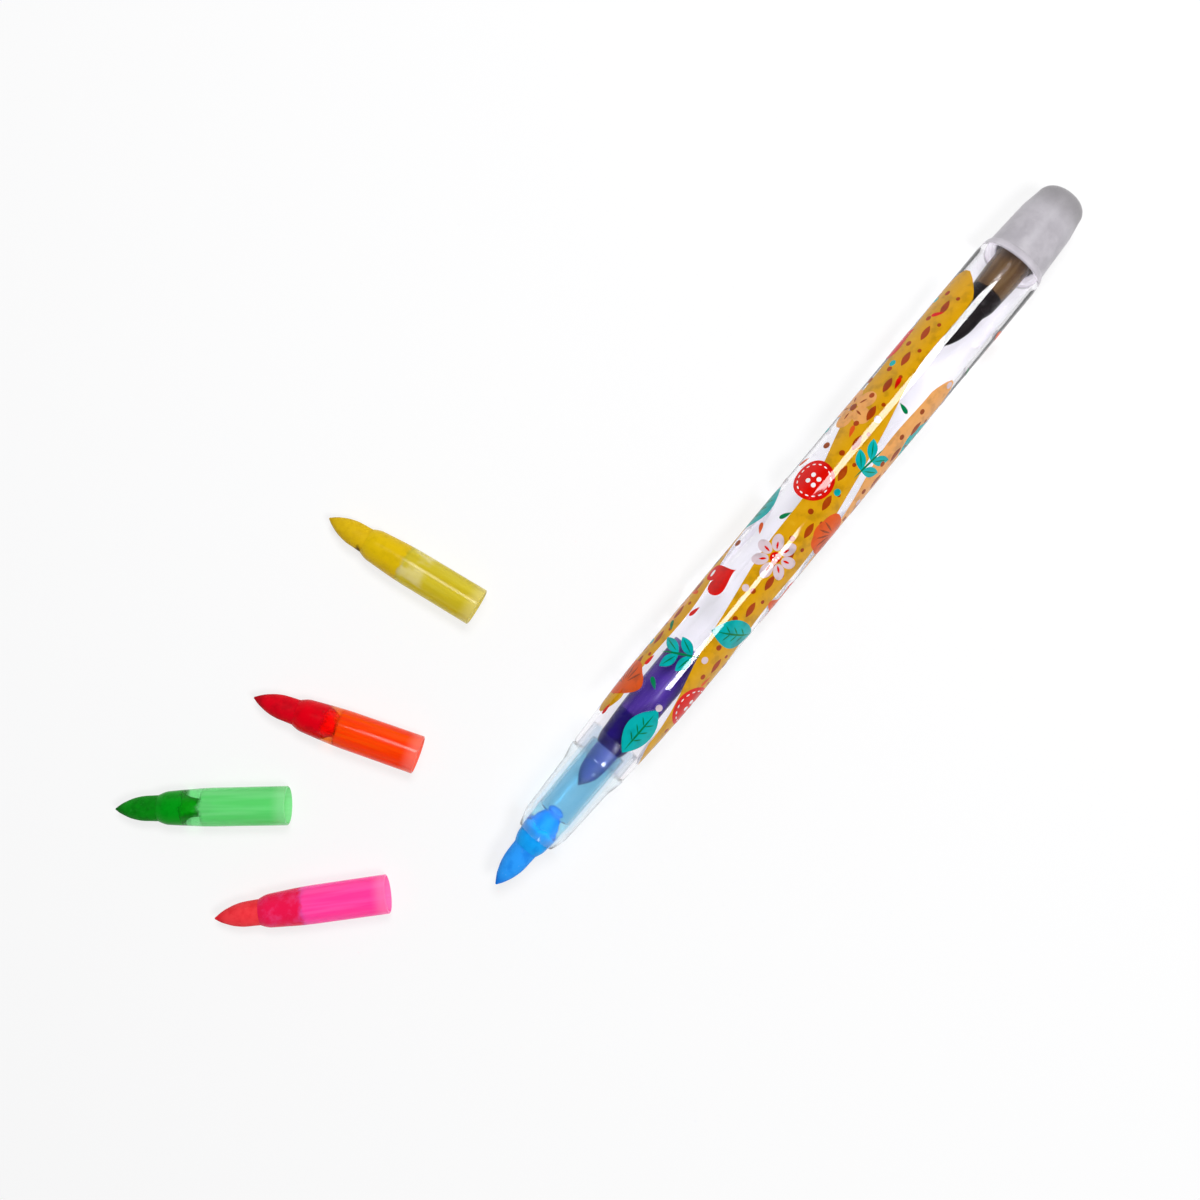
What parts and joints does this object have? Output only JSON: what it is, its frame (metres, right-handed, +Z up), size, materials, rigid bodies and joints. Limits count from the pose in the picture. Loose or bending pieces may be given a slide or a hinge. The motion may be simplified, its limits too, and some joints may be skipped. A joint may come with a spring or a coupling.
{
  "type": "stacking point pencil",
  "caption": "Clear pencil barrel with a nose cone and a frosted tail cap, holding nested crayon points that push forward and pull out; further points lie loose beside it.",
  "frame": {"origin": "on the surface that the pencil lies on, under the middle of the pencil's length", "axes": "+X along the pencil towards its writing tip, +Y to its left seen from the tail, +Z up"},
  "size_m": [0.1875, 0.0684, 0.0122],
  "materials": {
    "clear_plastic": "clear, polished",
    "frosted_plastic": "frosted, satin",
    "holder_blue": "tinted, see-through",
    "holder_purple": "tinted, see-through",
    "holder_black": "smoke-tinted, see-through",
    "holder_yellow": "tinted, see-through",
    "holder_red": "tinted, see-through",
    "holder_green": "tinted, see-through",
    "holder_pink": "tinted, see-through",
    "crayon_blue": "waxy",
    "crayon_purple": "waxy",
    "crayon_black": "waxy",
    "crayon_yellow": "waxy",
    "crayon_red": "waxy",
    "crayon_green": "waxy",
    "crayon_pink": "waxy"
  },
  "bodies": {
    "barrel": {"barrel": "clear_plastic", "nose_cone": "clear_plastic"},
    "tail_cap": {"tail_cap": "frosted_plastic"},
    "front_point": {"blue_holder": "holder_blue", "blue_crayon": "crayon_blue"},
    "second_point": {"purple_holder": "holder_purple", "purple_crayon": "crayon_purple"},
    "tail_point": {"black_holder": "holder_black", "black_crayon": "crayon_black"},
    "yellow_point": {"yellow_holder": "holder_yellow", "yellow_crayon": "crayon_yellow"},
    "red_point": {"red_holder": "holder_red", "red_crayon": "crayon_red"},
    "green_point": {"green_holder": "holder_green", "green_crayon": "crayon_green"},
    "pink_point": {"pink_holder": "holder_pink", "pink_crayon": "crayon_pink"}
  },
  "joints": [
    {"name": "cap_pull", "type": "slide", "parent": "barrel", "child": "tail_cap", "axis": [-1, 0, 0], "range_m": [0, 0.02]},
    {"name": "stack_advance", "type": "slide", "parent": "barrel", "child": "second_point", "axis": [1, 0, 0], "range_m": [0, 0.0218]},
    {"name": "front_point_pull", "type": "slide", "parent": "second_point", "child": "front_point", "axis": [1, 0, 0], "range_m": [0, 0.025]},
    {"name": "tail_point_slide", "type": "slide", "parent": "barrel", "child": "tail_point", "axis": [1, 0, 0], "range_m": [0, 0.0772]},
    {"name": "yellow_lift", "type": "slide", "parent": "barrel", "child": "yellow_point", "axis": [0, 0, 1], "range_m": [0, 0.05]},
    {"name": "red_lift", "type": "slide", "parent": "barrel", "child": "red_point", "axis": [0, 0, 1], "range_m": [0, 0.05]},
    {"name": "green_lift", "type": "slide", "parent": "barrel", "child": "green_point", "axis": [0, 0, 1], "range_m": [0, 0.05]},
    {"name": "pink_lift", "type": "slide", "parent": "barrel", "child": "pink_point", "axis": [0, 0, 1], "range_m": [0, 0.05]}
  ]
}
